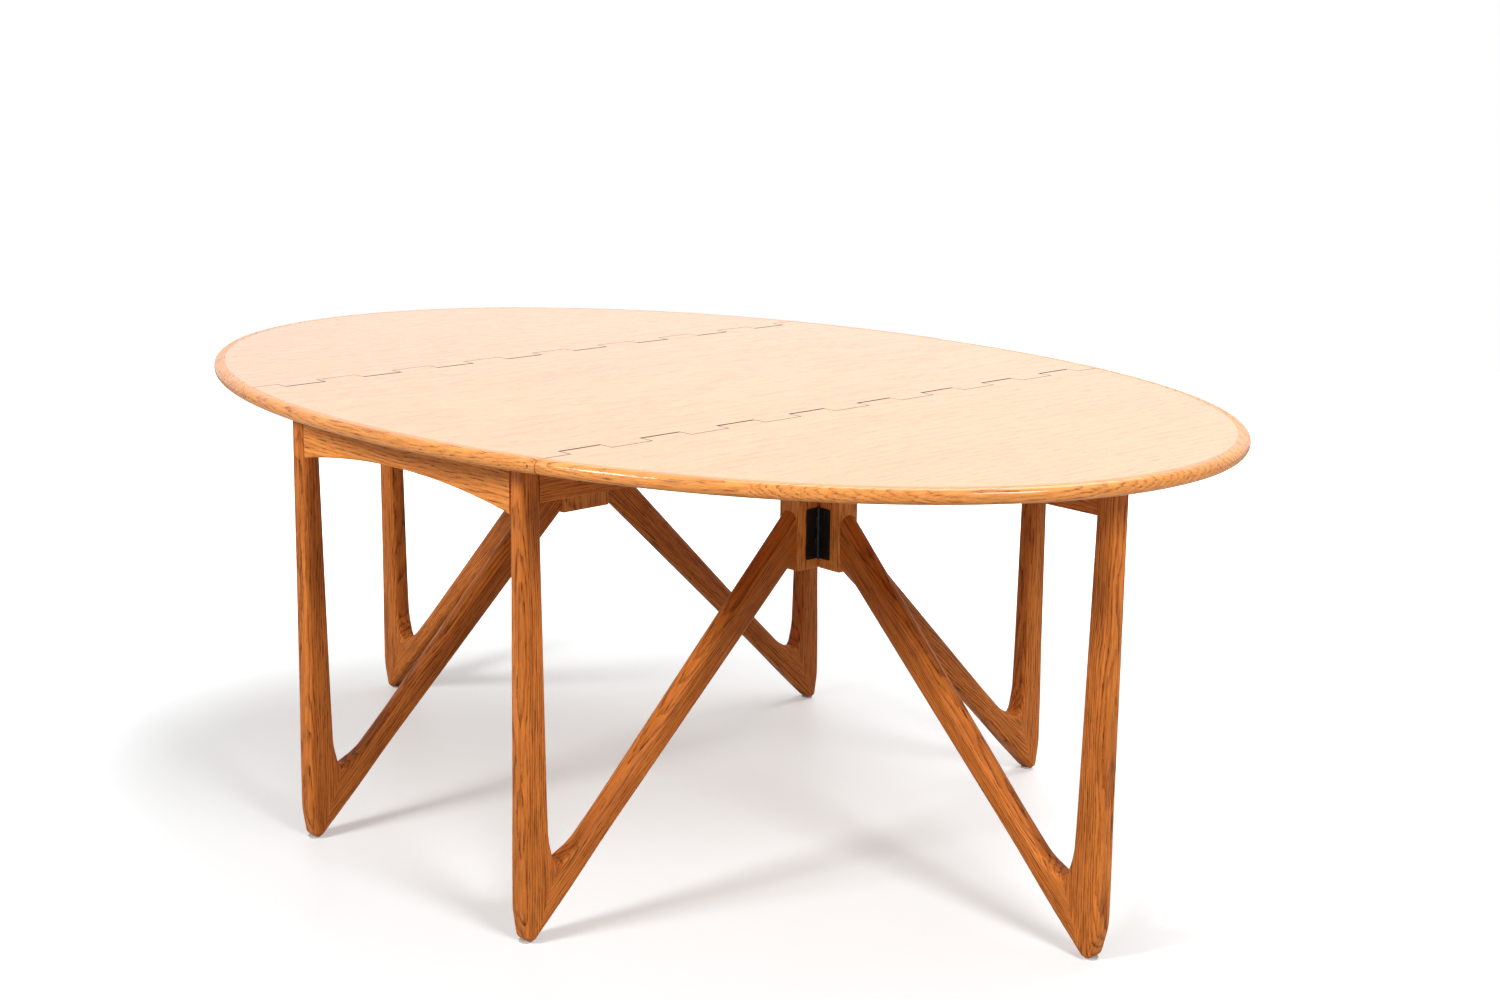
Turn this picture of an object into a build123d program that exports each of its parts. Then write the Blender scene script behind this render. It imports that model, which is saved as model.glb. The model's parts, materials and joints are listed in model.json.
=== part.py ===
from build123d import *
import math
import os

# Drop-leaf gateleg table. Units are millimetres, +Z is up, and the origin is on
# the floor under the middle of the top. +X runs along the long axis of the open
# top, towards the right leaf, and +Y along the two leaf hinges.

# ---- driving dimensions ----
HEIGHT = 725.0             # floor to top surface
TOP_LONG = 1950.0          # open length along X
TOP_WIDE = 1300.0          # width along Y
TOP_THICK = 22.0
OUTLINE_POWER = 2.05       # superellipse exponent, 2 is a plain ellipse
RIM_UPPER_RADIUS = 9.0
RIM_LOWER_RADIUS = 11.0
BAND_WIDTH = 18.0          # solid edge band around the panels

HINGE_X = 355.0            # leaf hinge rods lie at plus and minus this X
ROD_RADIUS = 3.0
FINGER_PITCH = 72.5        # length of one hinge finger along Y
LEAF_FINGERS = 8           # leaf fingers on each hinge
FINGER_SIDE_GAP = 1.2
LEAF_TIP_GAP = 4.0         # open joint at the ends of the leaf fingers
CENTRE_TIP_GAP = 1.5
ROD_INSET = 1.5            # rod ends stop this far inside the rim

BAND_JOINT_NEAR = -54.0    # degrees, where the leaf band pieces meet
BAND_JOINT_FAR = 6.4
BAND_JOINT_APEX = 300.0    # X the two joint angles are measured from

FRAME_X = 276.5            # plane of the fixed V legs
FOOT_Y = 560.0             # foot centres of the fixed legs
GATE_FOOT_X = 858.5        # foot centres of the gates when square to the frame
LEG_THICK = 35.0
LEG_EDGE_RADIUS = 8.5

FOOT_U = 518.0             # foot centre in the V's own plane
GLIDE_HEIGHT = 3.0
GLIDE_RADIUS = 10.0
NAIL_RADIUS = 1.0
NAIL_LENGTH = 14.0
NAIL_TIP_CLEARANCE = 0.5
GLIDE_ROUNDING = 1.2

BLOCK_BOTTOM = 464.0
BLOCK_THICK_X = 43.0       # fixed hub block
BLOCK_NEAR = 42.0          # hub block reach on the hinge's side
BLOCK_FAR = 60.0           # hub block reach on the other side
GATE_BLOCK_X = (298.6, 345.0)
GATE_BLOCK_Y = (1.0, 40.0)
GATE_TOP_GAP = 0.5         # gates clear the underside of the top

RAIL_DEPTH = 60.0
RAIL_THICK = 24.0
APRON_THICK = 22.0
APRON_DEPTH_END = 77.0
APRON_DEPTH_MIDDLE = 54.0
TENON_THICK = 11.0
TENON_DEPTH = 42.0
TENON_LENGTH = 12.0
RAIL_BITE = 0.5            # rail ends are let into the posts by this much
TENON_GAP = 0.1
RAIL_OFFSET = 1.0          # half rails stand this far out from the plane of the legs
APRON_SETBACK = 2.0        # aprons stand this far in from the posts' outer faces
FRAME_ROUNDING = 3.0       # edges of blocks, rails and aprons
BLOCK_FOOT_ROUNDING = 1.5

PIN_OFFSET = 3.5           # gate hinge pin out from both mounting faces
PIN_RADIUS = 1.6
BARREL_RADIUS = 3.2
PLATE_THICK = 2.0
PLATE_WIDTH = 23.0
HINGE_BOTTOM = 480.0
BARREL_LENGTH = 16.0
BARRELS = 5
BARREL_GAP = 0.2
BARREL_CLEARANCE = 0.6     # plates stay this far clear of the other leaf's barrels
PLATE_ROUNDING = 2.0
PIN_OVERHANG = 1.0
GATE_AJAR = 2.2            # gates stand this many degrees short of square

SCREW_RADIUS = 1.8
SCREW_HEAD_RADIUS = 3.4
SCREW_LENGTH = 16.0
SCREW_RISE = 26.0          # height between two screws of a plate
SCREW_STAGGER = 3.0        # sideways from the plate's middle
SCREW_SLOT_WIDTH = 0.8
SCREW_SLOT_DEPTH = 0.6
HOLE_CLEARANCE = 0.05

CORNER_BLOCK = 38.0
CORNER_BLOCK_HEIGHT = 40.0
TOP_SCREW_RADIUS = 2.2
TOP_SCREW_HEAD_RADIUS = 4.4
TOP_SCREW_HEAD_HEIGHT = 3.0
TOP_SCREW_INSET = 11.875   # from the frame corner, along both sides
TOP_SCREW_BITE = 14.0      # how far the screws go into the top

# ---- worked out from them ----
UNDERSIDE = HEIGHT - TOP_THICK
ROD_Z = HEIGHT - TOP_THICK / 2
FINGER_RADIUS = TOP_THICK / 2
GATE_TOP = UNDERSIDE - GATE_TOP_GAP
BLOCK_OUTER_X = FRAME_X + BLOCK_THICK_X / 2
HALF_RAIL_X = (FRAME_X + RAIL_OFFSET - RAIL_THICK / 2, FRAME_X + RAIL_OFFSET + RAIL_THICK / 2)
HINGE_HEIGHT = BARRELS * BARREL_LENGTH
PIN_X = BLOCK_OUTER_X + PIN_OFFSET
PIN_Y = GATE_BLOCK_Y[0] - PIN_OFFSET
GATE_Y = sum(GATE_BLOCK_Y) / 2
BIG = 3000.0


def outline_y(x, inset=0.0):
    """Half width of the top at x."""
    half_long = TOP_LONG / 2 - inset
    half_wide = TOP_WIDE / 2 - inset
    return half_wide * (1 - abs(x / half_long) ** OUTLINE_POWER) ** (1 / OUTLINE_POWER)


def outline_point(angle, inset):
    """Point of the superellipse at a parameter angle."""
    power = 2 / OUTLINE_POWER
    cos, sin = math.cos(angle), math.sin(angle)
    return (
        (TOP_LONG / 2 - inset) * math.copysign(abs(cos) ** power, cos),
        (TOP_WIDE / 2 - inset) * math.copysign(abs(sin) ** power, sin),
    )


def slab(inset=0.0, steps=48):
    """Flat board in the shape of the whole top."""
    points = [outline_point(2 * math.pi * (k + 0.5) / steps, inset) for k in range(steps)]
    edge = Edge.make_spline([Vector(x, y, UNDERSIDE) for x, y in points], periodic=True)
    return extrude(make_face(Wire([edge])), TOP_THICK, dir=(0, 0, 1))


def box(x, y, z):
    """Box from three (low, high) spans."""
    corner = Location((x[0], y[0], z[0]))
    low = (Align.MIN, Align.MIN, Align.MIN)
    return corner * Box(x[1] - x[0], y[1] - y[0], z[1] - z[0], align=low)


def rod_along(axis_dir, start, radius, length):
    """Cylinder from a start point along a direction."""
    plane = Plane(origin=start, z_dir=axis_dir)
    return plane * Cylinder(radius, length, align=(Align.CENTER, Align.CENTER, Align.MIN))


def turned(shape, half_turn):
    """The same piece on the other side: a half turn about the vertical centre line."""
    return shape.rotate(Axis.Z, 180) if half_turn else shape


# ---- top: panels, bands and hinge rods ----
def finger_prism(inward, y_low, y_high):
    """Hinge finger whose free end is square above and round below the rod.

    inward -1: a centre finger that ends beyond the rod, +1: a leaf finger that ends short of it.
    """
    root_gap = CENTRE_TIP_GAP if inward > 0 else LEAF_TIP_GAP
    root = HINGE_X + inward * (FINGER_RADIUS + root_gap)
    end = HINGE_X - inward * FINGER_RADIUS
    profile = Plane.XZ * Polyline(
        (HINGE_X, UNDERSIDE), (root, UNDERSIDE), (root, HEIGHT), (end, HEIGHT), (end, ROD_Z)
    )
    diagonal = FINGER_RADIUS * math.sqrt(0.5)
    middle = (HINGE_X - inward * diagonal, 0, ROD_Z - diagonal)
    arc = ThreePointArc((end, 0, ROD_Z), middle, (HINGE_X, 0, UNDERSIDE))
    face = make_face(Wire(profile.edges() + arc.edges()))
    return Location((0, y_low, 0)) * extrude(face, y_high - y_low, dir=(0, 1, 0))


def finger_edges():
    """Y values where the hinge changes between centre and leaf fingers."""
    count = 2 * LEAF_FINGERS - 1
    start = -count * FINGER_PITCH / 2
    return [start + k * FINGER_PITCH for k in range(count + 1)]


def centre_region():
    """Everything that belongs to the middle of the top, right half, as one cutter."""
    marks = [-BIG] + finger_edges() + [BIG]
    gap = FINGER_SIDE_GAP / 2
    wall = HINGE_X - FINGER_RADIUS - LEAF_TIP_GAP
    region = box((0, wall), (-BIG, BIG), (0, BIG))
    for low, high in zip(marks[0::2], marks[1::2]):
        region += finger_prism(-1, low + gap, high - gap)
    return region


def leaf_region():
    """Everything that belongs to the right leaf, as one cutter."""
    marks = finger_edges()
    gap = FINGER_SIDE_GAP / 2
    wall = HINGE_X + FINGER_RADIUS + CENTRE_TIP_GAP
    region = box((wall, BIG), (-BIG, BIG), (0, BIG))
    for low, high in zip(marks[0::2], marks[1::2]):
        region += finger_prism(1, low + gap, high - gap)
    return region


def wedge(angle_from, angle_to):
    """Tall wedge between two directions from the band joint apex."""
    points = [(BAND_JOINT_APEX, 0)]
    for angle in (angle_from, (angle_from + angle_to) / 2, angle_to):
        turn = math.radians(angle)
        points.append((BAND_JOINT_APEX + BIG * math.cos(turn), BIG * math.sin(turn)))
    return extrude(make_face(Polyline(points, close=True)), HEIGHT + 1, dir=(0, 0, 1))


def make_top():
    """Panels, edge bands and rods, by node name."""
    top = slab()
    rims = top.edges().group_by(Axis.Z)
    top = fillet(rims[-1], RIM_UPPER_RADIUS)
    lower = [e for e in top.edges() if abs(e.center().Z - UNDERSIDE) < 0.01]
    top = fillet(lower, RIM_LOWER_RADIUS)
    inner = slab(inset=BAND_WIDTH)

    half_rod = outline_y(HINGE_X) - ROD_INSET
    bore = rod_along((0, 1, 0), (HINGE_X, -BIG, ROD_Z), ROD_RADIUS + HOLE_CLEARANCE, 2 * BIG)
    rod = rod_along((0, 1, 0), (HINGE_X, -half_rod, ROD_Z), ROD_RADIUS, 2 * half_rod)

    right_half = centre_region() - bore
    both = right_half + turned(right_half, True)
    centre = top & both
    leaf = (top & leaf_region()) - bore

    nodes = {"centre_panel": centre & inner}
    band = centre - inner
    nodes["centre_band_front"] = band & box((-BIG, BIG), (-BIG, 0), (0, BIG))
    nodes["centre_band_back"] = band & box((-BIG, BIG), (0, BIG), (0, BIG))

    leaf_panel = leaf & inner
    leaf_band = leaf - inner
    spans = {
        "hinge_end": (-90, BAND_JOINT_NEAR),
        "tip": (BAND_JOINT_NEAR, BAND_JOINT_FAR),
        "long_end": (BAND_JOINT_FAR, 90),
    }
    for side, half_turn in (("right", False), ("left", True)):
        nodes[f"{side}_leaf_panel"] = turned(leaf_panel, half_turn)
        nodes[f"{side}_hinge_rod"] = turned(rod, half_turn)
        for part_name, (angle_from, angle_to) in spans.items():
            piece = leaf_band & wedge(angle_from, angle_to)
            nodes[f"{side}_band_{part_name}"] = turned(piece, half_turn)
    return nodes


# ---- V legs: u runs outwards from the hub, z up ----
V_CROTCH = (474.0, 107.0)
V_SEAM_FOOT = (512.0, GLIDE_HEIGHT)
V_POST_TOP = (495.0, 526.0)      # inner and outer u at the top of a fixed leg
V_GATE_POST_TOP = (502.5, 536.5)
V_OUTER_LOW = (532.5, 50.0)
V_FOOT_CORNER = (525.0, GLIDE_HEIGHT)
V_INNER_LOW = (484.5, 150.0)
V_STRUT_HUB = (479.0, 558.0)     # lower and upper z at the hub end
V_STRUT_LOW = (430.0, 128.0)
V_SEAM_TURN = (468.0, 137.0)     # the seam between post and strut passes the crotch to here
V_SEAM_FLOOR = (515.0, 0.0)
V_BEND_RADIUS = 120.0
V_CROTCH_RADIUS = 12.0
V_STRUT_RADIUS = 90.0
V_FOOT_RADIUS = 9.5
LEAN_INNER = 0.35                # share of a post's extra reach kept at the inner bend
LEAN_OUTER = 0.5                 # and at the outer bend


def v_leg(top_z, post_top):
    """Post and strut of one V leg in the XZ plane, u along X, thickness about Y = 0.

    post_top is the inner and outer u at the top of the post. What it stands further out
    than on a fixed leg runs out towards the foot.
    """
    lean = post_top[1] - V_POST_TOP[1]
    inner_low = (V_INNER_LOW[0] + lean * LEAN_INNER, V_INNER_LOW[1])
    outer_low = (V_OUTER_LOW[0] + lean * LEAN_OUTER, V_OUTER_LOW[1])
    outline = Polyline(
        (post_top[0], top_z), inner_low, V_CROTCH, V_STRUT_LOW, (0.0, V_STRUT_HUB[1]),
        (0.0, V_STRUT_HUB[0]), V_SEAM_FOOT, V_FOOT_CORNER, outer_low, (post_top[1], top_z),
        close=True,
    )
    face = make_face(outline)
    soft_corners = {
        inner_low: V_BEND_RADIUS,
        V_CROTCH: V_CROTCH_RADIUS,
        V_STRUT_LOW: V_STRUT_RADIUS,
        V_SEAM_FOOT: V_FOOT_RADIUS,
        V_FOOT_CORNER: V_FOOT_RADIUS,
        outer_low: V_BEND_RADIUS,
    }
    for corner, radius in soft_corners.items():
        vertex = face.vertices().sort_by_distance((*corner, 0))[0]
        face = fillet(vertex, radius)
    blank = extrude(Plane.XZ * face, LEG_THICK / 2, both=True)
    half = LEG_THICK / 2
    long_edges = []
    for edge in blank.edges():
        middle = edge.center()
        on_side = abs(abs(middle.Y) - half) < 0.01 and edge.bounding_box().size.Y < 0.01
        if on_side and middle.Z < top_z - 1 and middle.X > 1:
            long_edges.append(edge)
    blank = fillet(long_edges, LEG_EDGE_RADIUS)

    seam = Plane.XZ * make_face(Polyline(
        V_CROTCH, V_SEAM_FOOT, V_SEAM_FLOOR, (BIG, 0), (BIG, BIG),
        (V_SEAM_TURN[0], BIG), V_SEAM_TURN, close=True,
    ))
    post_side = extrude(seam, LEG_THICK, both=True)
    return blank & post_side, blank - post_side


def glide_at(x, y):
    """Nail-on glide under one foot."""
    disc = Cylinder(GLIDE_RADIUS, GLIDE_HEIGHT)
    disc = fillet(disc.edges().group_by(Axis.Z)[0], GLIDE_ROUNDING)
    disc = Location((x, y, GLIDE_HEIGHT / 2)) * disc
    return disc + rod_along((0, 0, 1), (x, y, GLIDE_HEIGHT), NAIL_RADIUS, NAIL_LENGTH)


def nail_hole(x, y):
    """Hole for the glide's nail."""
    radius = NAIL_RADIUS + HOLE_CLEARANCE
    depth = GLIDE_HEIGHT + NAIL_LENGTH + NAIL_TIP_CLEARANCE
    return rod_along((0, 0, 1), (x, y, 0), radius, depth)


def tenons(x, y, z_top, along, gap=0.0):
    """Two tenons that stand out of a rail's ends, or their mortises with a gap.

    x, y are the rail's (low, high) spans and along is "x" or "y".
    """
    z_mid = z_top - RAIL_DEPTH / 2
    z = (z_mid - TENON_DEPTH / 2 - gap, z_mid + TENON_DEPTH / 2 + gap)
    reach = TENON_LENGTH + gap
    pieces = []
    if along == "x":
        mid = sum(y) / 2
        side = (mid - TENON_THICK / 2 - gap, mid + TENON_THICK / 2 + gap)
        pieces = [box((x[0] - reach, x[0]), side, z), box((x[1], x[1] + reach), side, z)]
    else:
        mid = sum(x) / 2
        side = (mid - TENON_THICK / 2 - gap, mid + TENON_THICK / 2 + gap)
        pieces = [box(side, (y[0] - reach, y[0]), z), box(side, (y[1], y[1] + reach), z)]
    return pieces[0] + pieces[1]


def rail(x, y, z_top, along):
    """Straight rail with a tenon at each end and softened lower edges."""
    bar = box(x, y, (z_top - RAIL_DEPTH, z_top))
    axis = Axis.X if along == "x" else Axis.Y
    bar = fillet(bar.edges().filter_by(axis).group_by(Axis.Z)[0], FRAME_ROUNDING)
    return bar + tenons(x, y, z_top, along)


# ---- gate hinges ----
def barrels(first):
    """Barrel segments of one hinge leaf: every second one, from the first."""
    pieces = []
    for k in range(first, BARRELS, 2):
        low = HINGE_BOTTOM + k * BARREL_LENGTH + BARREL_GAP / 2
        pieces.append((low, low + BARREL_LENGTH - BARREL_GAP))
    return pieces


def hinge_screw_spots(mid):
    """Three (across, z) screw places on a hinge plate."""
    z_mid = HINGE_BOTTOM + HINGE_HEIGHT / 2
    return [
        (mid - SCREW_STAGGER, z_mid - SCREW_RISE),
        (mid + SCREW_STAGGER, z_mid),
        (mid - SCREW_STAGGER, z_mid + SCREW_RISE),
    ]


def hinge_screw(spot, direction):
    """Countersunk wood screw, its head flush with the plate's face at spot."""
    head = Plane(origin=spot, z_dir=direction) * Cone(
        SCREW_HEAD_RADIUS, SCREW_RADIUS, PLATE_THICK, align=(Align.CENTER, Align.CENTER, Align.MIN)
    )
    shank = rod_along(direction, spot, SCREW_RADIUS, SCREW_LENGTH)
    slot = Box(2 * SCREW_HEAD_RADIUS, SCREW_SLOT_WIDTH, 2 * SCREW_SLOT_DEPTH)
    slot = Plane(origin=spot, z_dir=direction) * slot
    return head + shank - slot


def gate_hinge():
    """Both plates, the pin and the two sets of screws of the right gate hinge."""
    z_span = (HINGE_BOTTOM, HINGE_BOTTOM + HINGE_HEIGHT)
    bore = rod_along((0, 0, 1), (PIN_X, PIN_Y, 0), PIN_RADIUS + HOLE_CLEARANCE, HEIGHT)
    clear = BARREL_RADIUS + BARREL_CLEARANCE

    face_x = BLOCK_OUTER_X
    fixed_y = (PIN_Y - PLATE_WIDTH, PIN_Y - clear)
    fixed = fillet(
        box((face_x, face_x + PLATE_THICK), fixed_y, z_span).edges().filter_by(Axis.X)
        .group_by(Axis.Y)[0], PLATE_ROUNDING,
    )
    for z in barrels(0):
        fixed += box((face_x, face_x + PLATE_THICK), (PIN_Y - clear, PIN_Y), z)
        fixed += rod_along((0, 0, 1), (PIN_X, PIN_Y, z[0]), BARREL_RADIUS, z[1] - z[0])

    face_y = GATE_BLOCK_Y[0]
    gate_x = (PIN_X + clear, PIN_X + PLATE_WIDTH)
    gate = fillet(
        box(gate_x, (face_y - PLATE_THICK, face_y), z_span).edges().filter_by(Axis.Y)
        .group_by(Axis.X)[-1], PLATE_ROUNDING,
    )
    for z in barrels(1):
        gate += box((PIN_X, PIN_X + clear), (face_y - PLATE_THICK, face_y), z)
        gate += rod_along((0, 0, 1), (PIN_X, PIN_Y, z[0]), BARREL_RADIUS, z[1] - z[0])

    fixed_screws = [
        hinge_screw((face_x + PLATE_THICK, y, z), (-1, 0, 0))
        for y, z in hinge_screw_spots(sum(fixed_y) / 2)
    ]
    gate_screws = [
        hinge_screw((x, face_y - PLATE_THICK, z), (0, 1, 0))
        for x, z in hinge_screw_spots(sum(gate_x) / 2)
    ]
    pin_foot = (PIN_X, PIN_Y, HINGE_BOTTOM - PIN_OVERHANG)
    pin = rod_along((0, 0, 1), pin_foot, PIN_RADIUS, HINGE_HEIGHT + 2 * PIN_OVERHANG)
    return {
        "fixed_plate": fixed - bore - fixed_screws,
        "gate_plate": gate - bore - gate_screws,
        "pin": pin,
        "fixed_screws": fixed_screws,
        "gate_screws": gate_screws,
    }


# ---- fixed frame ----
def side_frame(hinge):
    """Right-hand fixed frame: hub block, two V legs and two half rails."""
    block_x = (FRAME_X - BLOCK_THICK_X / 2, BLOCK_OUTER_X)
    block_y = (-BLOCK_NEAR, BLOCK_FAR)
    block = box(block_x, block_y, (BLOCK_BOTTOM, UNDERSIDE))
    block = fillet(block.edges().filter_by(Axis.Z), FRAME_ROUNDING)
    block = fillet(block.edges().group_by(Axis.Z)[0], BLOCK_FOOT_ROUNDING)

    post_inner = BLOCK_NEAR + V_POST_TOP[0] - RAIL_BITE
    front_y = (-post_inner, -BLOCK_NEAR)
    back_y = (BLOCK_FAR, post_inner)
    mortises = tenons(HALF_RAIL_X, front_y, UNDERSIDE, "y", TENON_GAP)
    mortises += tenons(HALF_RAIL_X, back_y, UNDERSIDE, "y", TENON_GAP)

    post, strut = v_leg(UNDERSIDE, V_POST_TOP)
    front = Location((FRAME_X, -BLOCK_NEAR, 0), (0, 0, -90))
    back = Location((FRAME_X, BLOCK_NEAR, 0), (0, 0, 90))
    half_rails = {
        "front": rail(HALF_RAIL_X, front_y, UNDERSIDE, "y"),
        "back": rail(HALF_RAIL_X, back_y, UNDERSIDE, "y"),
    }
    nodes = {"hub_block": block - mortises - hinge["fixed_screws"]}
    for end, place, sign in (("front", front, -1), ("back", back, 1)):
        foot = (FRAME_X, sign * FOOT_Y)
        nodes[f"{end}_post"] = place * post - mortises - half_rails[end] - nail_hole(*foot)
        nodes[f"{end}_strut"] = place * strut - block
        nodes[f"{end}_half_rail"] = half_rails[end]
    return nodes


def apron_spans():
    """X and Y spans of the front apron between its posts."""
    half = FRAME_X - LEG_THICK / 2
    face = BLOCK_NEAR + V_POST_TOP[1] - APRON_SETBACK
    return (-half, half), (-face, -face + APRON_THICK)


def make_apron():
    """Front apron: straight top, arched lower edge, a tenon at each end."""
    x, y = apron_spans()
    low_end = UNDERSIDE - APRON_DEPTH_END
    low_middle = UNDERSIDE - APRON_DEPTH_MIDDLE
    outline = Polyline((x[1], low_end), (x[1], UNDERSIDE), (x[0], UNDERSIDE), (x[0], low_end))
    arch = ThreePointArc((x[0], low_end), (0, low_middle), (x[1], low_end))
    face = Plane.XZ * make_face(Wire(outline.edges() + arch.edges()))
    board = Location((0, y[0], 0)) * extrude(face, APRON_THICK, dir=(0, 1, 0))
    lower = [e for e in board.edges() if e.geom_type == GeomType.CIRCLE]
    return fillet(lower, FRAME_ROUNDING) + tenons(x, y, UNDERSIDE, "x")


def corner_spot(side, end):
    """Inner corner between an apron and a half rail."""
    apron_y = apron_spans()[1]
    return side * HALF_RAIL_X[0], end * -apron_y[1]


def corner_block(side, end):
    """Glued three-cornered block in a frame corner."""
    x, y = corner_spot(side, end)
    z = (UNDERSIDE - CORNER_BLOCK_HEIGHT, UNDERSIDE)
    face = make_face(Polyline(
        (x, y, z[0]), (x - side * CORNER_BLOCK, y, z[0]), (x, y - end * CORNER_BLOCK, z[0]),
        close=True,
    ))
    return extrude(face, z[1] - z[0], dir=(0, 0, 1))


def top_screw(side, end, extra=0.0):
    """Screw up through a corner block into the panel, or its hole when extra is given."""
    x, y = corner_spot(side, end)
    x -= side * TOP_SCREW_INSET
    y -= end * TOP_SCREW_INSET
    z = UNDERSIDE - CORNER_BLOCK_HEIGHT
    head_radius = TOP_SCREW_HEAD_RADIUS + extra
    head = rod_along((0, 0, 1), (x, y, z - extra), head_radius, TOP_SCREW_HEAD_HEIGHT + extra)
    length = CORNER_BLOCK_HEIGHT + TOP_SCREW_BITE + extra
    return head + rod_along((0, 0, 1), (x, y, z), TOP_SCREW_RADIUS + extra, length)


# ---- gates ----
def make_gate(hinge):
    """Right gate, square to the frame: block, V leg, rail and the gate's hinge parts."""
    block = box(GATE_BLOCK_X, GATE_BLOCK_Y, (BLOCK_BOTTOM, GATE_TOP))
    block = fillet(block.edges().filter_by(Axis.Z), FRAME_ROUNDING)
    block = fillet(block.edges().group_by(Axis.Z)[0], BLOCK_FOOT_ROUNDING)
    origin_x = GATE_FOOT_X - FOOT_U
    rail_x = (GATE_BLOCK_X[1], origin_x + V_GATE_POST_TOP[0] - RAIL_BITE)
    rail_y = (GATE_Y - RAIL_THICK / 2, GATE_Y + RAIL_THICK / 2)
    gate_rail = rail(rail_x, rail_y, GATE_TOP, "x")
    mortises = tenons(rail_x, rail_y, GATE_TOP, "x", TENON_GAP)
    post, strut = v_leg(GATE_TOP, V_GATE_POST_TOP)
    place = Location((origin_x, GATE_Y, 0))
    return {
        "gate_block": block - mortises - hinge["gate_screws"],
        "gate_post": place * post - mortises - gate_rail - nail_hole(GATE_FOOT_X, GATE_Y),
        "gate_strut": place * strut - block,
        "gate_rail": gate_rail,
        "gate_glide": glide_at(GATE_FOOT_X, GATE_Y),
        "gate_hinge_plate": hinge["gate_plate"],
        "gate_hinge_screws": Compound(hinge["gate_screws"]),
    }


def ajar(shape):
    """Swing a gate piece to where the gate stands at rest, just short of square."""
    return shape.rotate(Axis((PIN_X, PIN_Y, 0), (0, 0, 1)), -GATE_AJAR)


def make_frame():
    """Fixed frame and both gates, by node name."""
    nodes = {}
    hinge = gate_hinge()
    frame = side_frame(hinge)
    gate = make_gate(hinge)
    for side, half_turn in (("right", False), ("left", True)):
        for name, shape in frame.items():
            end = name.split("_")[0]
            if half_turn and end in ("front", "back"):
                name = name.replace(end, "back" if end == "front" else "front")
            nodes[f"{side}_{name}"] = turned(shape, half_turn)
        for name, shape in gate.items():
            nodes[f"{side}_{name}"] = turned(ajar(shape), half_turn)
        nodes[f"{side}_fixed_hinge_plate"] = turned(hinge["fixed_plate"], half_turn)
        nodes[f"{side}_fixed_hinge_screws"] = turned(Compound(hinge["fixed_screws"]), half_turn)
        nodes[f"{side}_hinge_pin"] = turned(hinge["pin"], half_turn)

    x, y = apron_spans()
    mortises = tenons(x, y, UNDERSIDE, "x", TENON_GAP)
    mortises += mortises.mirror(Plane.XZ)
    for side in ("right", "left"):
        for end in ("front", "back"):
            nodes[f"{side}_{end}_post"] -= mortises
    nodes["front_apron"] = make_apron()
    nodes["back_apron"] = nodes["front_apron"].mirror(Plane.XZ)

    corners = [(side, end) for side in (1, -1) for end in (1, -1)]
    for side, end in corners:
        name = f"{'right' if side > 0 else 'left'}_{'back' if end > 0 else 'front'}_corner_block"
        post = nodes[name.replace("corner_block", "post")]
        nodes[name] = corner_block(side, end) - post - top_screw(side, end, HOLE_CLEARANCE)
    nodes["top_screws"] = Compound([top_screw(*c) for c in corners])
    nodes["fixed_glides"] = Compound([glide_at(side * FRAME_X, end * FOOT_Y) for side, end in corners])
    return nodes, [top_screw(*c, HOLE_CLEARANCE) for c in corners]


def main():
    os.makedirs("parts", exist_ok=True)
    nodes = make_top()
    frame, screw_holes = make_frame()
    nodes["centre_panel"] -= screw_holes
    nodes.update(frame)
    for name, shape in nodes.items():
        export_step(shape, f"parts/{name}.step")


main()
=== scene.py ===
import json
import math

import bmesh
import bpy
import numpy as np
from mathutils import Matrix, Vector


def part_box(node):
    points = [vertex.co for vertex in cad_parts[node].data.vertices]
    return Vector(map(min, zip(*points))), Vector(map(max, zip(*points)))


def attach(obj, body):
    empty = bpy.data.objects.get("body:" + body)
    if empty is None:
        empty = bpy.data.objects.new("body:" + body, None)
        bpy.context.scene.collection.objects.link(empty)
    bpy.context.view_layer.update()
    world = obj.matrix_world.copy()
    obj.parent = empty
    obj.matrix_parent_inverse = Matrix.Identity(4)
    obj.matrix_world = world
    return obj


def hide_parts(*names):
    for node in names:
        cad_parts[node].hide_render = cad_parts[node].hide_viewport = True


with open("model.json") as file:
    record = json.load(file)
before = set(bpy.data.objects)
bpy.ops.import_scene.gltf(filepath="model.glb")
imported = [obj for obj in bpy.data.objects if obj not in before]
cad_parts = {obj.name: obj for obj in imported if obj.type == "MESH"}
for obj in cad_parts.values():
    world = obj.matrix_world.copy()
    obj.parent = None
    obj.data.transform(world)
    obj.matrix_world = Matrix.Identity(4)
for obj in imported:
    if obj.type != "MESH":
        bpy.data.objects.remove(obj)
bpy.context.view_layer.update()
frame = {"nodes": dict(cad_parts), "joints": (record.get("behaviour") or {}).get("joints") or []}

NODES = frame["nodes"]

# ---------------------------------------------------------------- camera
# Fitted to the photo. The lens and the sensor are in millimetres, the place in metres.
LENS = 53.17
SENSOR = 36.0
CAMERA_PLACE = Vector((2.64414, -2.37740, 1.31215))
CAMERA_YAW = math.radians(46.43)
CAMERA_PITCH = math.radians(12.53)
CAMERA_ROLL = math.radians(-0.61)

# ---------------------------------------------------------------- light
SKY_SEEN = 1.0      # strength of the sky to the camera
SKY_LIGHT = 0.12    # as a source of light
SKY_GLOSS = 1.0     # in reflections
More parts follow.
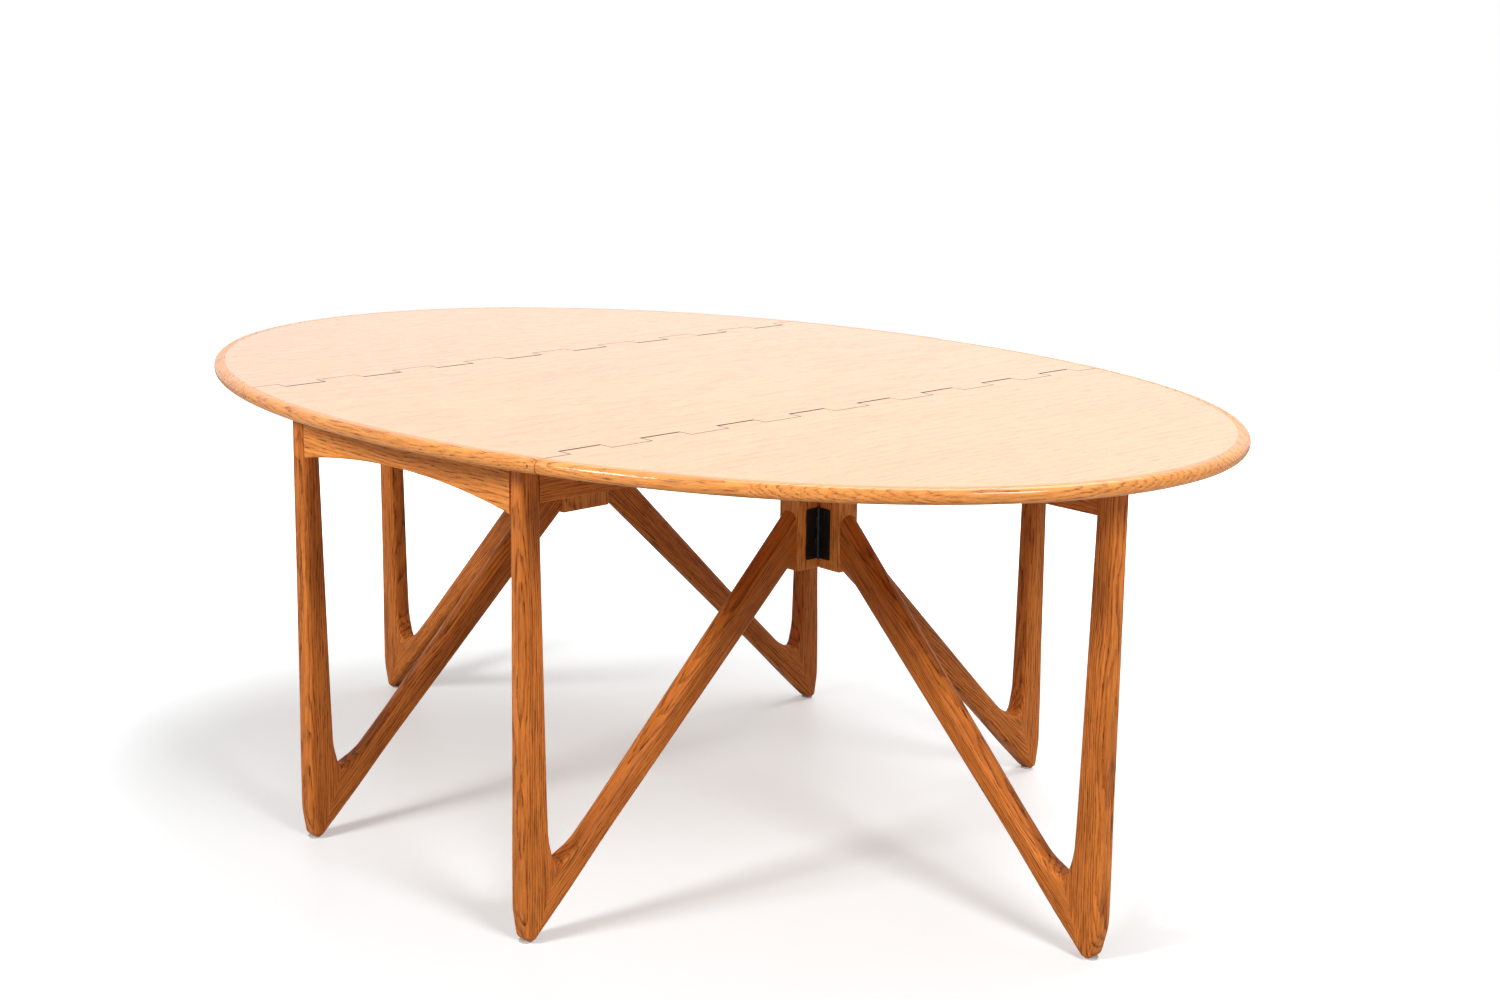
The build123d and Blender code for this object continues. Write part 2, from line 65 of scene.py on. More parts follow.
# Round lamps: place, aim and size in metres, power in watts.
KEY_RIGHT = dict(place=(3.6, -0.7, 2.7), aim=(0.0, 0.0, 0.35), size=1.3, power=100.0)
KEY_LEFT = dict(place=(-0.4, -3.9, 2.7), aim=(0.0, 0.0, 0.35), size=1.2, power=130.0)
OVERHEAD = dict(place=(0.0, 1.2, 3.6), aim=(0.0, 0.0, 0.7), size=3.0, power=112.0)

# ---------------------------------------------------------------- tones (linear)
OAK_LIGHT = (0.78, 0.240, 0.044)
OAK_DARK = (0.29, 0.066, 0.008)
OAK_PORE = (0.045, 0.010, 0.002)
VENEER_LIGHT = (0.74, 0.39, 0.145)
VENEER_DARK = (0.66, 0.31, 0.105)
VENEER_PORE = (0.52, 0.20, 0.060)
BAND_LIGHT = (0.92, 0.37, 0.090)
BAND_DARK = (0.56, 0.18, 0.030)
BAND_PORE = (0.16, 0.042, 0.008)
# painted light: a brighter copy of the oak tones, standing in for the extra light on the hub and
# gate blocks and the aprons
LIT_OAK_LIGHT = (0.95, 0.36, 0.085)
LIT_OAK_DARK = (0.52, 0.150, 0.024)
# dirt and painted shade: the dark colour given to the panels' upright faces and hinge finger edges
JOINT_DIRT_AND_SHADE = (0.045, 0.016, 0.007)
FLOOR_BOUNCE = (0.50, 0.49, 0.47)
FLOOR_LIGHT = (0.79, 0.82, 0.835)
FLOOR_SCUFF = (0.75, 0.775, 0.785)
GLIDE_WHITE = (0.66, 0.65, 0.62)
GLIDE_GRUBBY = (0.45, 0.42, 0.38)
# painted shade: the dark outline given to the glides' edges
GLIDE_EDGE_SHADE = (0.22, 0.20, 0.18)
ROD_STEEL = (0.62, 0.58, 0.52)
SCREW_STEEL = (0.20, 0.18, 0.16)
HINGE_BLACK = (0.018, 0.017, 0.016)
HINGE_SCREW_BLACK = (0.030, 0.028, 0.026)

# ---------------------------------------------------------------- dark lines of the leaf hinges: dirt and painted shade in the joints
HINGE_X = 0.355                 # distance of both rods from the middle of the table
HINGE_REACH = (0.016, 0.020)    # distance from a rod over which the dark finger edges fade out
JOINT_LINE = 0.003              # how far the dark line reaches in from a finger's edge
JOINT_LINE_LOW = 0.86           # its low in edges()
FAR_EDGE = 0.15                 # what is left of the dark edges away from the rods
UPRIGHT = (0.75, 0.35)          # up part of the normal over which a face turns dark

# ---------------------------------------------------------------- wood figure
# How often each pattern changes per metre: along the grain, across it, and into the board.
WANDER_SCALE = (2.6, 9.0, 9.0)
RAGGED_SCALE = (26.0, 240.0, 240.0)
STREAK_SCALE = (10.0, 210.0, 210.0)
CLOUD_SCALE = (3.0, 14.0, 14.0)
DASH_SCALE = (70.0, 1100.0, 1100.0)
LONG_PORE_SCALE = (30.0, 430.0, 430.0)
RAY_SCALE = (90.0, 320.0, 60.0)
SMEAR_SCALE = (30.0, 60.0, 60.0)
# The values of each noise between which its pattern comes in.
STREAK_RANGE = (0.35, 0.72)
CLOUD_RANGE = (0.38, 0.68)
DASH_RANGE = (0.56, 0.70)
LONG_PORE_RANGE = (0.50, 0.62)
RAY_RANGE = (0.66, 0.78)
SMEAR_RANGE = (0.3, 0.7)
# How strongly each pattern shows in the colour.
EARLY_TONE = 0.45
STREAK_TONE = 0.55
CLOUD_TONE = 0.30
PORE_TONE = 0.85
RAY_TONE = 0.35
WORN_TONE = 0.16
# Growth rings, and the pores that lie in them.
WANDER_SIZE = (0.0, 0.045, 0.060)    # how far the rings stray from circles, in metres
RING_RAGGED = 0.9                    # how ragged they are, in widths of a ring
EARLY_SHARE = 0.55                   # part of a ring that is open early wood
LATE_PORES = 0.25                    # what is left of the pores in late wood
DASHES_EARLY = 0.6                   # what early wood adds to the short pores
LONG_PORES_EARLY = 0.7               # and to the long ones
# Where in the log a piece is cut. The seed moves it, by these lengths in metres.
CUT_ALONG = 0.31
CUT_ACROSS = 0.043
CUT_DEEPER = 0.012
ACROSS_TURN = 2.3                    # radians for each seed
DEEPER_TURN = 1.7
# Surface. Edges and depths are in metres.
WORN_EDGE = 0.004
FLAT_FACING = 0.995                  # a flat face's normal against the rounded one, in edges()
PORE_DEPTH = 0.00025
PORE_BUMP = 0.7
STREAK_BUMP = 0.35
PORE_ROUGH = 0.25
SMEAR_ROUGH = (-0.05, 0.07)          # least and most that smears add to the roughness
COAT_ROUGH = 0.12

# ---------------------------------------------------------------- steel and nylon
BRUSH_SCALE = (1800.0, 1800.0, 60.0)
BRUSH_DEPTH = 0.00004
BRUSH_BUMP = 0.6
SMUDGE_SCALE = (70.0, 70.0, 70.0)
SMUDGE_TONE = 0.35
SMUDGE_ROUGH = (-0.06, 0.10)
DULL_STEEL = 0.6                     # the smudges' tone, as a share of the steel's
BRIGHT_STEEL = 2.2                   # the worn edges' tone, in the same way
BRIGHT_LIFT = 0.03
STEEL_WORN_TONE = 0.5
STEEL_EDGE = 0.0012
SPECKLE_SCALE = (900.0, 900.0, 900.0)
SPECKLE_DEPTH = 0.00006
SPECKLE_BUMP = 0.5
SPECKLE_ROUGH = (0.38, 0.55)
GRUBBY_SCALE = (110.0, 110.0, 110.0)
GRUBBY_RANGE = (0.45, 0.75)
GRUBBY_TONE = 0.5
GLIDE_EDGE = 0.0015
# how strongly the glide's edges are darkened as painted shade, a thin shadow outline
GLIDE_EDGE_SHADE_TONE = 0.25


class Graph:
    """A small helper that adds nodes to one material and joins them."""

    def __init__(self, name):
        self.material = bpy.data.materials.new(name)
        self.material.use_nodes = True
        self.tree = self.material.node_tree
        self.tree.nodes.clear()
        self.shader = self.add("ShaderNodeBsdfPrincipled")
        output = self.add("ShaderNodeOutputMaterial")
        self.tree.links.new(self.shader.outputs[0], output.inputs[0])

    def add(self, kind, **settings):
        node = self.tree.nodes.new(kind)
        for key, value in settings.items():
            setattr(node, key, value)
        return node

    def put(self, socket, value):
        if isinstance(value, bpy.types.NodeSocket):
            self.tree.links.new(value, socket)
        elif value is not None:
            if socket.type == "RGBA" and len(value) == 3:
                value = (*value, 1.0)
            socket.default_value = value

    def math(self, operation, a, b=None, c=None):
        node = self.add("ShaderNodeMath", operation=operation)
        for socket, value in zip(node.inputs, (a, b, c)):
            self.put(socket, value)
        return node.outputs[0]

    def vector(self, operation, a, b=None):
        node = self.add("ShaderNodeVectorMath", operation=operation)
        self.put(node.inputs[0], a)
        self.put(node.inputs[1], b)
        is_number = operation in ("LENGTH", "DOT_PRODUCT")
        return node.outputs["Value" if is_number else "Vector"]

    def mix(self, factor, a, b):
        node = self.add("ShaderNodeMix", data_type="RGBA")
        self.put(node.inputs[0], factor)
        self.put(node.inputs[6], a)
        self.put(node.inputs[7], b)
        return node.outputs[2]

    def noise(self, where, scale, detail=3.0, roughness=0.55, colour=False):
        stretched = self.vector("MULTIPLY", where, scale)
        node = self.add("ShaderNodeTexNoise")
        self.put(node.inputs["Vector"], stretched)
        self.put(node.inputs["Scale"], 1.0)
        self.put(node.inputs["Detail"], detail)
        self.put(node.inputs["Roughness"], roughness)
        return node.outputs["Color" if colour else "Fac"]

    def span(self, value, low, high, to_low=0.0, to_high=1.0):
        """A smooth step from to_low to to_high while value goes from low to high."""
        node = self.add("ShaderNodeMapRange", interpolation_type="SMOOTHSTEP")
        limits = {"From Min": low, "From Max": high, "To Min": to_low, "To Max": to_high}
        for name, number in limits.items():
            node.inputs[name].default_value = number
        self.put(node.inputs["Value"], value)
        return node.outputs[0]

    def place(self, axes=None, shift=(0.0, 0.0, 0.0)):
        """The piece's own coordinates, turned so that X runs along axes[0] and Z along axes[2]."""
        where = self.add("ShaderNodeTexCoord").outputs["Object"]
        node = self.add("ShaderNodeMapping", vector_type="POINT")
        self.put(node.inputs["Vector"], where)
        if axes:
            node.inputs["Rotation"].default_value = Matrix(axes).to_euler()
        node.inputs["Location"].default_value = shift
        return node.outputs[0]

    def edges(self, radius, low=0.90):
        """1 on sharp edges, less on rounded ones and 0 on flats.

        The smaller low is, the sharper an edge has to be to reach 1.
        """
        bevel = self.add("ShaderNodeBevel", samples=4)
        bevel.inputs["Radius"].default_value = radius
        normal = self.add("ShaderNodeNewGeometry").outputs["Normal"]
        facing = self.vector("DOT_PRODUCT", bevel.outputs[0], normal)
        return self.span(facing, FLAT_FACING, low)

    def hinge_distance(self):
        """How far a point is, along X, from the nearer of the two leaf hinge lines."""
        split = self.add("ShaderNodeSeparateXYZ")
        self.put(split.inputs[0], self.add("ShaderNodeTexCoord").outputs["Object"])
        out = self.math("ABSOLUTE", split.outputs[0])
        return self.math("ABSOLUTE", self.math("SUBTRACT", out, HINGE_X))

    def normal_height(self):
        """The up part of the surface's own normal, at rest: 1 up, 0 sideways, -1 down."""
        normal = self.add("ShaderNodeTexCoord").outputs["Normal"]
        return self.vector("DOT_PRODUCT", normal, (0.0, 0.0, 1.0))

    def bump(self, height, distance, strength=1.0):
        node = self.add("ShaderNodeBump")
        node.inputs["Distance"].default_value = distance
        node.inputs["Strength"].default_value = strength
        self.put(node.inputs["Height"], height)
        self.put(self.shader.inputs["Normal"], node.outputs[0])


def unit(vector):
    return Vector(vector).normalized()


def grain_axes(along, face):
    """Rows of the turn that puts the grain on X and the broad face's normal on Z."""
    x = unit(along)
    z = unit(Vector(face) - x * Vector(face).dot(x))
    return (x, z.cross(x), z)


def oak(name, along, face, seed, tones, ring=0.0042, heart=0.055, gloss=0.36, contrast=1.0,
        coat=0.0, fleck=1.0, shine=0.13, dirty_and_shaded_sides=False):
    """Open-grained oak: growth rings round a far heart line, dark pores, worn edges.

    along and face are the directions of the grain and of the broad face. ring is the width of a
    growth ring and heart the distance of the heart line from the face, both in metres.
    gloss is the middle roughness, coat and shine the weights of the two reflections, and fleck
    the strength of the rays. The last flag darkens upright faces and the hinge fingers' edges:
    dirt, and painted shade in the joints.
    """
    light, dark, pore = tones
    g = Graph(name)
    shift = (CUT_ALONG * seed,
             CUT_ACROSS * math.sin(ACROSS_TURN * seed),
             heart + CUT_DEEPER * math.sin(DEEPER_TURN * seed))
    where = g.place(grain_axes(along, face), shift)

    wander = g.noise(where, WANDER_SCALE, detail=2.0, colour=True)
    wander = g.vector("SUBTRACT", wander, (0.5, 0.5, 0.5))
    bent = g.vector("ADD", where, g.vector("MULTIPLY", wander, WANDER_SIZE))
    from_heart = g.vector("LENGTH", g.vector("MULTIPLY", bent, (0.0, 1.0, 1.0)))
    ragged = g.noise(where, RAGGED_SCALE, detail=3.0)
    rings = g.math("MULTIPLY_ADD", ragged, RING_RAGGED, g.math("DIVIDE", from_heart, ring))
    year = g.math("FRACT", rings)
    early = g.span(year, EARLY_SHARE, 0.0)

    streaks = g.noise(where, STREAK_SCALE, detail=4.0, roughness=0.6)
    clouds = g.noise(where, CLOUD_SCALE, detail=3.0)
    dashes = g.noise(where, DASH_SCALE, detail=2.0, roughness=0.5)
    dashes = g.span(dashes, *DASH_RANGE)
    long_pores = g.noise(where, LONG_PORE_SCALE, detail=3.0, roughness=0.6)
    long_pores = g.span(long_pores, *LONG_PORE_RANGE)
    share = g.math("MULTIPLY_ADD", early, DASHES_EARLY, LATE_PORES)
    dashes = g.math("MULTIPLY", dashes, share)
    share = g.math("MULTIPLY_ADD", early, LONG_PORES_EARLY, LATE_PORES)
    long_pores = g.math("MULTIPLY", long_pores, share)
    pores = g.math("MAXIMUM", dashes, long_pores)
    rays = g.noise(where, RAY_SCALE, detail=1.0)
    rays = g.span(rays, *RAY_RANGE, 0.0, RAY_TONE * fleck)

    tone = g.math("MULTIPLY", g.span(streaks, *STREAK_RANGE), STREAK_TONE * contrast)
    tone = g.math("MULTIPLY_ADD", early, EARLY_TONE * contrast, tone)
    colour = g.mix(tone, light, dark)
    colour = g.mix(g.span(clouds, *CLOUD_RANGE, 0.0, CLOUD_TONE), colour, dark)
    colour = g.mix(rays, colour, light)
    colour = g.mix(g.math("MULTIPLY", pores, PORE_TONE), colour, pore)
    edge_wear_and_shade = g.edges(WORN_EDGE)
    colour = g.mix(g.math("MULTIPLY", edge_wear_and_shade, WORN_TONE), colour, light)
    # Dirt and painted shade: upright faces and the finger edges near the rods turn dark, as the
    # joints' gaps would in shade.
    if dirty_and_shaded_sides:
        upright = g.math("ABSOLUTE", g.normal_height())
        rim = g.edges(JOINT_LINE, low=JOINT_LINE_LOW)
        near_rod = g.span(g.hinge_distance(), *HINGE_REACH, 1.0, FAR_EDGE)
        rim = g.math("MULTIPLY", rim, near_rod)
        dirt_and_shade = g.math("MAXIMUM", g.span(upright, *UPRIGHT), rim)
        colour = g.mix(dirt_and_shade, colour, JOINT_DIRT_AND_SHADE)
    g.put(g.shader.inputs["Base Color"], colour)

    smear = g.noise(where, SMEAR_SCALE, detail=2.0)
    smear = g.span(smear, *SMEAR_RANGE, gloss + SMEAR_ROUGH[0], gloss + SMEAR_ROUGH[1])
    rough = g.math("MULTIPLY_ADD", pores, PORE_ROUGH, smear)
    g.put(g.shader.inputs["Roughness"], rough)
    g.shader.inputs["Specular IOR Level"].default_value = shine
    g.shader.inputs["Coat Weight"].default_value = coat
    g.shader.inputs["Coat Roughness"].default_value = COAT_ROUGH
    height = g.math("MULTIPLY_ADD", streaks, STREAK_BUMP, g.math("MULTIPLY", pores, -1.0))
    g.bump(height, PORE_DEPTH, PORE_BUMP)
    return g.material


def steel(name, colour, roughness, metallic=1.0):
    """Turned or pressed steel: fine brushed lines, smudges and lighter edges."""
    g = Graph(name)
    where = g.place()
    lines = g.noise(where, BRUSH_SCALE, detail=2.0)
    smudge = g.noise(where, SMUDGE_SCALE, detail=4.0)
    edge_wear_and_shade = g.edges(STEEL_EDGE)
    bright = tuple(min(1.0, c * BRIGHT_STEEL + BRIGHT_LIFT) for c in colour)
    dull = tuple(c * DULL_STEEL for c in colour)
    shade = g.mix(g.span(smudge, *SMEAR_RANGE, 0.0, SMUDGE_TONE), colour, dull)
    shade = g.mix(g.math("MULTIPLY", edge_wear_and_shade, STEEL_WORN_TONE), shade, bright)
    g.put(g.shader.inputs["Base Color"], shade)
    least, most = (roughness + change for change in SMUDGE_ROUGH)
    rough = g.span(smudge, *SMEAR_RANGE, least, most)
    g.put(g.shader.inputs["Roughness"], rough)
    g.shader.inputs["Metallic"].default_value = metallic
    g.bump(lines, BRUSH_DEPTH, BRUSH_BUMP)
    return g.material


def glide_plastic(name):
    """Hard white nylon with fine speckle, grubby patches, and edges darkened as painted shade."""
    g = Graph(name)
    where = g.place()
    speckle = g.noise(where, SPECKLE_SCALE, detail=3.0)
    dirt_and_shade = g.noise(where, GRUBBY_SCALE, detail=4.0)
    edge_wear_and_shade = g.edges(GLIDE_EDGE)
    shade = g.mix(g.span(dirt_and_shade, *GRUBBY_RANGE, 0.0, GRUBBY_TONE), GLIDE_WHITE, GLIDE_GRUBBY)
    # painted shade: the edges are darkened into a thin shadow outline round the glide
    shade = g.mix(g.math("MULTIPLY", edge_wear_and_shade, GLIDE_EDGE_SHADE_TONE), shade, GLIDE_EDGE_SHADE)
    g.put(g.shader.inputs["Base Color"], shade)
    g.put(g.shader.inputs["Roughness"], g.span(speckle, *SMEAR_RANGE, *SPECKLE_ROUGH))
    g.bump(speckle, SPECKLE_DEPTH, SPECKLE_BUMP)
    return g.material


# ---------------------------------------------------------------- which wood runs which way
OAK = (OAK_LIGHT, OAK_DARK, OAK_PORE)
VENEER = (VENEER_LIGHT, VENEER_DARK, VENEER_PORE)
BAND = (BAND_LIGHT, BAND_DARK, BAND_PORE)
# painted light: the oak tones made brighter for the blocks and aprons, which catch more light
LIT_OAK = (LIT_OAK_LIGHT, LIT_OAK_DARK, OAK_PORE)
X, Y, Z = Vector((1, 0, 0)), Vector((0, 1, 0)), Vector((0, 0, 1))


def middle_and_size(node):
    low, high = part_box(node)
    return (low + high) / 2, high - low


def sign(value):
    return 1.0 if value > 0 else -1.0


def band_direction(node):
    """The chord of a length of edge band, which is sawn from a straight board."""
    middle, size = middle_and_size(node)
    if "centre" in node:
        return X.copy()
    return Vector((size.x, -sign(middle.x * middle.y) * size.y, 0.0))


def material_for(node, seed):
    name = "finish_" + node
    if node.endswith("_panel"):
        return oak(name, Y, Z, seed, VENEER, ring=0.012, heart=0.30, gloss=0.34, contrast=0.30,
                   coat=0.9, fleck=0.4, shine=0.3, dirty_and_shaded_sides=True)
    if "band" in node:
        return oak(name, band_direction(node), Z, seed, BAND, ring=0.0055, heart=0.10, gloss=0.30,
                   coat=0.45, shine=0.15)
    # hub and gate blocks take the brightened copy of oak: painted light
    if node.endswith("hub_block") or node.endswith("gate_block"):
        return oak(name, Z, X, seed, LIT_OAK)
    if node.endswith("half_rail"):
        return oak(name, Y, X, seed, OAK)
    if node.endswith("apron"):
        # the aprons take the brightened copy of oak too: painted light
        return oak(name, X, Y, seed, LIT_OAK, ring=0.005, heart=0.035)
    if node.endswith("gate_rail"):
        return oak(name, X, Y, seed, OAK)
    if node.endswith("corner_block"):
        return oak(name, Z, X, seed, OAK, gloss=0.6)
    if node.endswith("rod"):
        return steel(name, ROD_STEEL, 0.30)
    if node.endswith("screws"):
        return steel(name, HINGE_SCREW_BLACK if "hinge" in node else SCREW_STEEL, 0.40)
    if "hinge" in node:
        return steel(name, HINGE_BLACK, 0.42, metallic=0.6)
    return glide_plastic(name)


for number, node_name in enumerate(sorted(NODES)):
    if node_name.endswith(("_post", "_strut")):
        continue
    piece = NODES[node_name]
    finish = material_for(node_name, number + 1)
    if not piece.data.materials:
        piece.data.materials.append(finish)
    for material_slot in piece.material_slots:
        material_slot.material = finish

# ---------------------------------------------------------------- V legs, rounder than in the CAD
# A V leg is drawn in its own plane: u runs out from the hub block, z is the height, and the
# thickness is set at each point by how far it is from the outline.
MM = 0.001
LEG_HALF = 17.5 * MM
GLIDE_HEIGHT = 3 * MM
CROTCH = (474 * MM, 107 * MM)
SEAM_FOOT = (512 * MM, GLIDE_HEIGHT)
FOOT_CORNER = (525 * MM, GLIDE_HEIGHT)
INNER_LOW = (484.5 * MM, 150 * MM)
OUTER_LOW = (532.5 * MM, 50 * MM)
STRUT_LOW = (430 * MM, 128 * MM)
HUB_END = (479 * MM, 558 * MM)         # heights of the strut's two edges at the hub
HUB_BITE = -1 * MM                     # u where a strut ends, a little way inside the hub
FIXED_POST_TOP = (495 * MM, 526 * MM)  # u of a post's inner and outer edge at its top
GATE_POST_TOP = (502.5 * MM, 536.5 * MM)
# Edge rounding: its size in the thickness, then how far it reaches in from the outline.
STRUT_ROUNDING = (16.3 * MM, 12.5 * MM)
POST_ROUNDING = (11.0 * MM, 10.5 * MM)
FOOT_ROUNDING = (9.0 * MM, 8.5 * MM)
POST_BLEND = (120 * MM, 240 * MM)      # heights where a post goes from foot to post rounding
STRUT_BLEND = (465 * MM, 360 * MM)     # the same on a strut, along u
BEND_RADIUS = 120 * MM
CROTCH_RADIUS = 12 * MM
STRUT_BEND_RADIUS = 90 * MM
TOE_RADIUS = 9.5 * MM
HUB_FACE = 42 * MM                     # from the middle of the hub to where u = 0
LEAN_INNER = 0.35                      # how much of a gate post's lean reaches its low inside
LEAN_OUTER = 0.5                       # and its low outside
GATE_AJAR = 2.2                        # degrees that a gate stands short of square
GATE_TOP_GAP = 0.5 * MM
PIN_TO_LEG = (39.0 * MM, 23.0 * MM, 0.0)   # from a hinge pin to where u = 0
ARC_STEPS = 16
EDGE_STEPS = 9
FLAT_STEPS = 6
STATION = 6 * MM
FOOT_STATIONS = 30
POST_SLANT = 1.0                       # how much longer a cross line is than the member's width
STRUT_SLANT = 1.45
MERGE = 0.02 * MM                      # points nearer than this become one
SHARP = math.radians(38)               # an edge that turns more than this is drawn sharp
WIDEST_ROUND = 0.42                    # most of a cross line that one rounded edge may take
TINY = 1e-9                            # these two keep a line of no length from a division by 0
TINY_SQUARED = 1e-14
FIRST_LEG_SEED = 101


def smooth_step(value, low, high):
    t = min(1.0, max(0.0, (value - low) / (high - low)))
    return t * t * (3 - 2 * t)


def blend(first, second, share):
    """Each pair's numbers, part of the way from the first pair to the second."""
    return tuple(a + (b - a) * share for a, b in zip(first, second))


def round_corner(before, corner, after, radius):
    """Points of the arc that rounds one corner of an outline."""
    p, q, r = Vector(before), Vector(corner), Vector(after)
    a, b = (p - q).normalized(), (r - q).normalized()
    half = a.angle(b) / 2
    sweep = math.pi - 2 * half
    centre = q + (a + b).normalized() * radius / math.sin(half)
    start = q + a * radius / math.tan(half) - centre
    end = q + b * radius / math.tan(half) - centre
    return [centre + (start * math.sin((1 - i / ARC_STEPS) * sweep)
                      + end * math.sin(i / ARC_STEPS * sweep)) / math.sin(sweep)
            for i in range(ARC_STEPS + 1)]


def chain(points, radii):
    """An open line through the points, with its inner corners rounded."""
    line = [Vector(points[0])]
    for i, radius in enumerate(radii, start=1):
        line += round_corner(points[i - 1], points[i], points[i + 1], radius)
    return line + [Vector(points[-1])]


def along(line, shares):
    """Points at these shares of a line's length."""
    reach = [0.0]
    for a, b in zip(line, line[1:]):
        reach.append(reach[-1] + (b - a).length)
    points, k = [], 0
    for share in shares:
        want = share * reach[-1]
        while k < len(line) - 2 and reach[k + 1] < want:
            k += 1
        t = (want - reach[k]) / (reach[k + 1] - reach[k])
        points.append(line[k].lerp(line[k + 1], min(1.0, t)))
    return points


def split_at_height(line, height):
    """A line that runs down, cut in two where it passes a height."""
    k = next(i for i in range(len(line) - 1) if line[i + 1].y < height)
    cut = line[k].lerp(line[k + 1], (line[k].y - height) / (line[k].y - line[k + 1].y))
    return line[:k + 1] + [cut], [cut] + line[k + 1:]


def edge_distance(points, lines):
    """Distance of each point from the nearest of the outline's lines."""
    p = np.array(points)[:, None, :]
    a = np.array([v for line in lines for v in line[:-1]])[None]
    b = np.array([v for line in lines for v in line[1:]])[None]
    ab = b - a
    t = np.clip(((p - a) * ab).sum(2) / np.maximum((ab * ab).sum(2), TINY_SQUARED), 0, 1)
    return np.linalg.norm(a + ab * t[..., None] - p, axis=2).min(1)


def across(a, b, rounding, slant):
    """Points from a to b, close together near both ends, where the section is round."""
    width = (b - a).length
    bend = min(rounding[1] * slant / max(width, TINY), WIDEST_ROUND)
    ends = [bend * (1 - math.cos(math.pi / 2 * k / EDGE_STEPS)) for k in range(EDGE_STEPS + 1)]
    middle = [bend + (1 - 2 * bend) * k / FLAT_STEPS for k in range(1, FLAT_STEPS)]
    shares = ends + middle + [1 - e for e in reversed(ends)]
    return [a.lerp(b, t) for t in shares]


def member_mesh(name, side_a, side_b, outline, rounding_at, slant):
    """Skin over the stations that join side_a to side_b, closed at both ends."""
    rows = [across(a, b, rounding_at(a), slant) for a, b in zip(side_a, side_b)]
    flat = [p for row in rows for p in row]
    distance = edge_distance(flat, outline)
    heights = []
    for p, d in zip(flat, distance):
        drop, depth = rounding_at(p)
        inside = max(0.0, 1.0 - d / depth)
        heights.append(LEG_HALF - drop + drop * math.sqrt(1.0 - inside * inside))
    mesh_points, count = [], len(rows[0])
    for r, row in enumerate(rows):
        height = heights[r * count:(r + 1) * count]
        mesh_points += [(p.x, h, p.y) for p, h in zip(row, height)]
        mesh_points += [(p.x, -h, p.y) for p, h in zip(reversed(row), reversed(height))]
    ring, faces = 2 * count, []
    for r in range(len(rows) - 1):
        for k in range(ring):
            n = (k + 1) % ring
            faces.append((r * ring + k, r * ring + n, (r + 1) * ring + n, (r + 1) * ring + k))
    faces.append(tuple(range(ring)))
    faces.append(tuple(reversed(range((len(rows) - 1) * ring, len(rows) * ring))))
    return clean_mesh(name, mesh_points, faces)


def clean_mesh(name, points, faces):
    """A mesh with doubled points merged, outward normals, and sharp edges where it turns hard."""
    mesh = bpy.data.meshes.new(name)
    mesh.from_pydata(points, [], faces)
    work = bmesh.new()
    work.from_mesh(mesh)
    bmesh.ops.remove_doubles(work, verts=work.verts, dist=MERGE)
    bmesh.ops.dissolve_degenerate(work, edges=work.edges, dist=MERGE)
    bmesh.ops.recalc_face_normals(work, faces=work.faces)
    for face in work.faces:
        face.smooth = True
    for edge in work.edges:
        edge.smooth = len(edge.link_faces) == 2 and edge.calc_face_angle() < SHARP
    work.to_mesh(mesh)
    work.free()
    return mesh


def leg_meshes(kind, post_top, top_z):
    """Post and strut meshes of one kind of V leg, in the leg's own frame."""
    lean = post_top[1] - FIXED_POST_TOP[1]
    inner_low = (INNER_LOW[0] + lean * LEAN_INNER, INNER_LOW[1])
    outer_low = (OUTER_LOW[0] + lean * LEAN_OUTER, OUTER_LOW[1])
    inner = chain(
        [(post_top[0], top_z), inner_low, CROTCH, STRUT_LOW, (HUB_BITE, HUB_END[1])],
        [BEND_RADIUS, CROTCH_RADIUS, STRUT_BEND_RADIUS])
    outer = chain(
        [(post_top[1], top_z), outer_low, FOOT_CORNER, SEAM_FOOT, (HUB_BITE, HUB_END[0])],
        [BEND_RADIUS, TOE_RADIUS, TOE_RADIUS])
    crotch = 1 + (ARC_STEPS + 1) + ARC_STEPS // 2          # middle of the second arc
    toe = 1 + 2 * (ARC_STEPS + 1) + ARC_STEPS // 2         # middle of the third arc
    post_inner, strut_upper = inner[:crotch + 1], inner[crotch:]
    post_outer, strut_lower = outer[:toe + 1], outer[toe:]
    outline = (inner, outer)

    def post_rounding(p):
        return blend(FOOT_ROUNDING, POST_ROUNDING, smooth_step(p.y, *POST_BLEND))

    def strut_rounding(p):
        return blend(FOOT_ROUNDING, STRUT_ROUNDING, smooth_step(p.x, *STRUT_BLEND))

    upper_outer, lower_outer = split_at_height(post_outer, inner[crotch].y)
    many = round(top_z / STATION)
    shares = [i / many for i in range(many + 1)]
    foot_shares = [math.sin(math.pi / 2 * i / FOOT_STATIONS) for i in range(1, FOOT_STATIONS + 1)]
    side_a = along(post_inner, shares) + along([inner[crotch], outer[toe]], foot_shares)
    side_b = along(upper_outer, shares) + along(lower_outer, foot_shares)
    post = member_mesh(kind + "_post", side_a, side_b, outline, post_rounding, POST_SLANT)

    side_a = along(strut_upper, shares)
    side_b = along(strut_lower, shares)
    strut = member_mesh(kind + "_strut", side_a, side_b, outline, strut_rounding, STRUT_SLANT)
    return {"post": post, "strut": strut}


def fixed_leg_place(node):
    """Turn and shift from a leg's own frame to a fixed leg's place."""
    middle, _ = middle_and_size(node)
    outward = sign(middle.y)
    turn = Matrix.Rotation(outward * math.pi / 2, 4, "Z")
    return Matrix.Translation((middle.x, outward * HUB_FACE, 0.0)) @ turn


